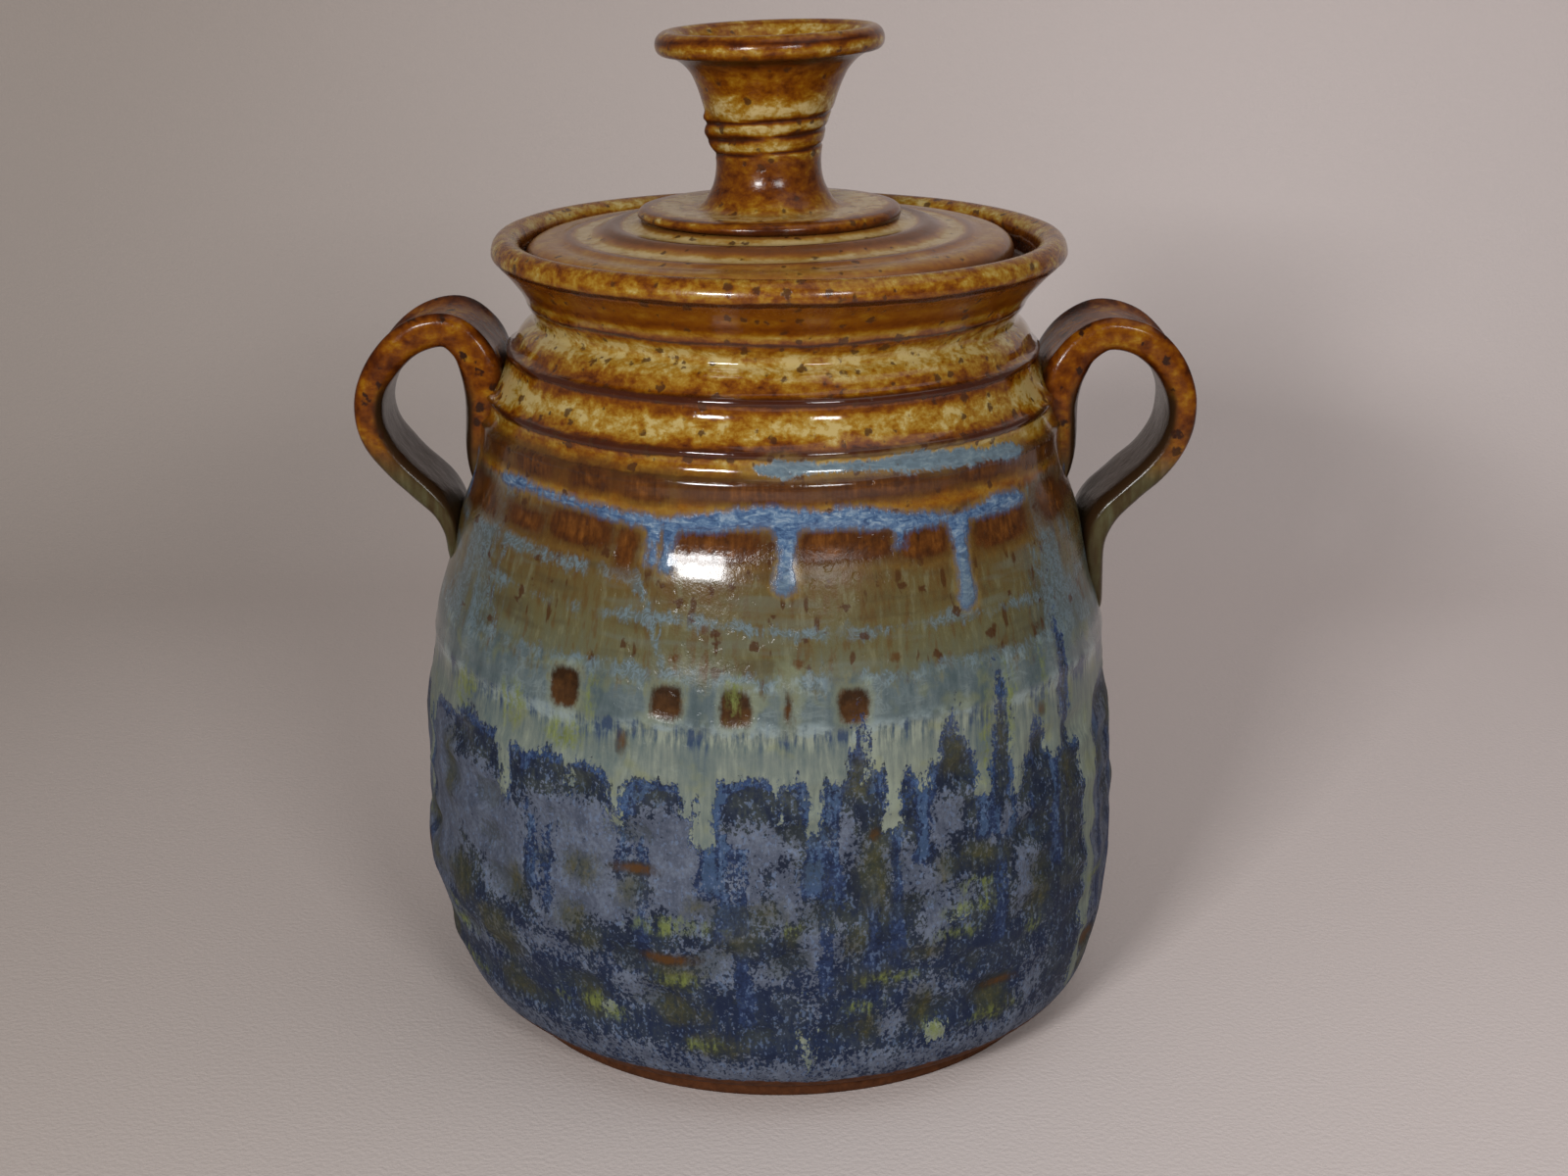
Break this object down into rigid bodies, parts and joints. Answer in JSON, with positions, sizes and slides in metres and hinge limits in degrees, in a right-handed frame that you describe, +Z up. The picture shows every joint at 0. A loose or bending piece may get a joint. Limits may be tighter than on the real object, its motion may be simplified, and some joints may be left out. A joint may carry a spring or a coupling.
{
  "type": "butter crock",
  "caption": "Lidded stoneware crock with strap handles, throwing ridges under a flared lip, a drop-in gallery lid with a hollow trumpet knob, and a running layered glaze.",
  "frame": {"origin": "on the table, under the middle of the foot", "axes": "+Z up along the axis the crock was thrown on; the handles point along +X and -X; the front faces -Y"},
  "size_m": [0.2171, 0.1882, 0.2601],
  "materials": {
    "body_glaze": "glossy amber and cream glaze with iron specks on the lip and shoulder, running through olive and pale celadon into mottled blue, bare red-brown clay at the foot and under the base",
    "handle_glaze": "glossy amber-brown glaze turning olive grey towards the tail",
    "lid_glaze": "glossy cream and amber glaze in rings, with dark iron specks and dark lines where it breaks over an edge"
  },
  "bodies": {
    "crock": {"crock_body": "body_glaze", "left_handle": "handle_glaze", "right_handle": "handle_glaze"},
    "lid": {"lid_plate": "lid_glaze", "lid_knob": "lid_glaze"}
  },
  "joints": [
    {"name": "lid_lift", "type": "slide", "parent": "crock", "child": "lid", "axis": [0, 0, 1], "range_m": [0, 0.08]}
  ]
}
